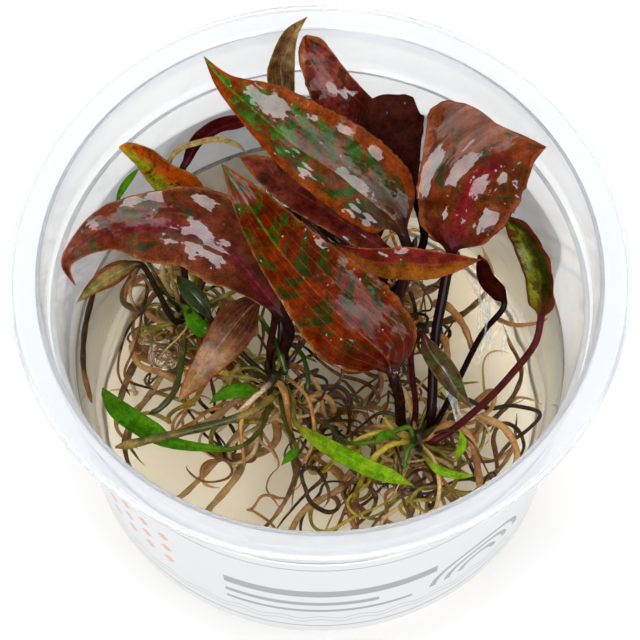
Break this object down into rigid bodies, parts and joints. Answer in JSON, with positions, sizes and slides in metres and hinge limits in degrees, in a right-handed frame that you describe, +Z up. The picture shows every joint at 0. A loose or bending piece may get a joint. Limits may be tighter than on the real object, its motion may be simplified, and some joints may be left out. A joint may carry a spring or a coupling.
{
  "type": "potted rose maiden cryptocoryne",
  "caption": "Marbled red and green aquarium plantlets rooted in clear gel in a low round lidless plastic cup with a label band.",
  "frame": {"origin": "centre of the foot ring that the cup stands on", "axes": "+Z up along the cup's axis, -Y towards the side that the label reads from"},
  "size_m": [0.1, 0.1, 0.0682],
  "materials": {
    "clear_plastic": "clear glossy moulded plastic",
    "label_film": "white satin film",
    "gel": "clear wet gel",
    "rootstock": "damp brown rootstock",
    "leaf_red": "wet glossy leaf, red brown marbled with green",
    "leaf_olive": "wet glossy leaf, olive marbled with red brown",
    "leaf_rose": "wet glossy leaf, rose brown marbled with grey green",
    "leaf_crimson": "wet glossy leaf, crimson with a bright midrib",
    "leaf_dark": "wet glossy leaf, dark brown underside",
    "leaf_orange": "wet glossy leaf, orange and lime",
    "leaf_green": "wet glossy fresh green leaf"
  },
  "bodies": {
    "root": {"cup": "clear_plastic", "label": "label_film", "gel": "gel", "crown_right": "rootstock", "crown_left": "rootstock", "crown_back": "rootstock", "crown_small": "rootstock", "leaf_front": "leaf_red", "leaf_upper_left": "leaf_olive", "leaf_left": "leaf_rose", "leaf_right": "leaf_crimson", "leaf_dark_back": "leaf_dark", "leaf_red_back": "leaf_crimson", "leaf_crest": "leaf_olive", "leaf_orange": "leaf_orange", "leaf_inner": "leaf_crimson", "leaf_small_right": "leaf_orange", "leaf_small_left": "leaf_rose", "leaf_hanging_left": "leaf_rose", "leaf_curled": "leaf_dark", "leaf_green_under": "leaf_green", "leaf_sunk_green": "leaf_green", "leaf_green_blade": "leaf_green", "leaf_green_spear": "leaf_green", "leaf_green_hook": "leaf_green", "leaf_narrow_right": "leaf_olive", "leaf_wall": "leaf_olive", "leaf_dark_low": "leaf_dark", "leaf_arch": "leaf_crimson", "leaf_straw": "leaf_orange", "leaf_tiny_spear": "leaf_green", "leaf_sprout_low": "leaf_green", "leaf_sprout_up": "leaf_green", "leaf_sprout_mid": "leaf_green"}
  },
  "joints": []
}
